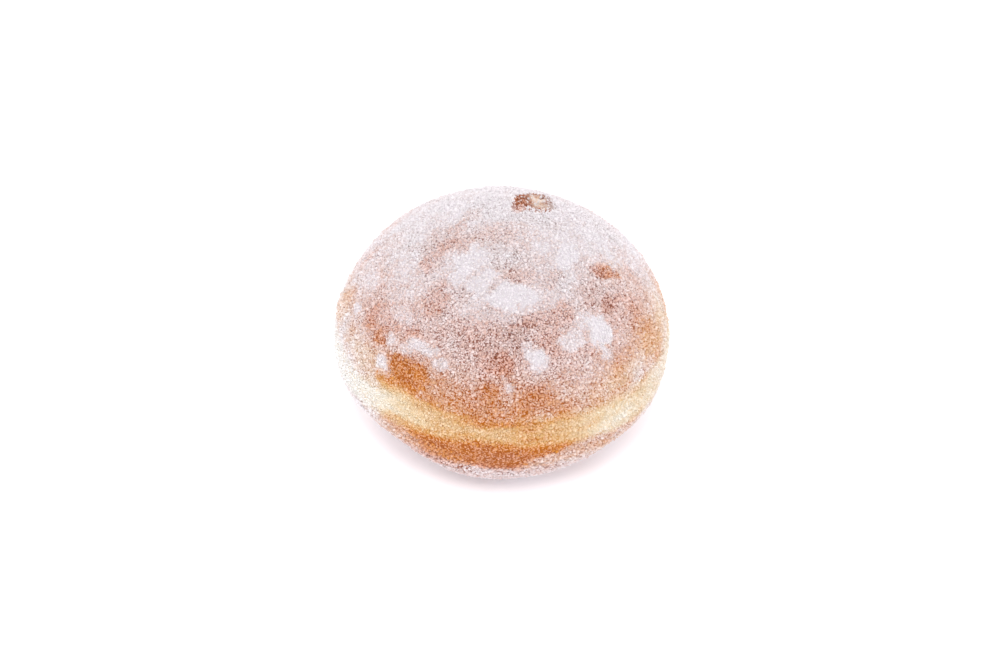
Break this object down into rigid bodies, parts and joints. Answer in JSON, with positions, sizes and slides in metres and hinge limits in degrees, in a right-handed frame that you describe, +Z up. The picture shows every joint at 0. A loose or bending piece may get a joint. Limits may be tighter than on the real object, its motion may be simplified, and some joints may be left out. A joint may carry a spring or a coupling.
{
  "type": "mini filled doughnut",
  "caption": "Small round filled doughnut without a hole: domed browned crust, pale belt round the middle, browned underside with a flat spot, rolled in fine sugar.",
  "frame": {"origin": "centre of the bounding box in X and Y, at the level of the flat spot that the doughnut rests on", "axes": "+Z up, the front that is seen first faces -Y, +X is the viewer's right"},
  "size_m": [0.062, 0.0624, 0.0465],
  "materials": {
    "sugared_crust": "matt fried crust under fine white sugar"
  },
  "bodies": {
    "root": {"doughnut": "sugared_crust"}
  },
  "joints": []
}
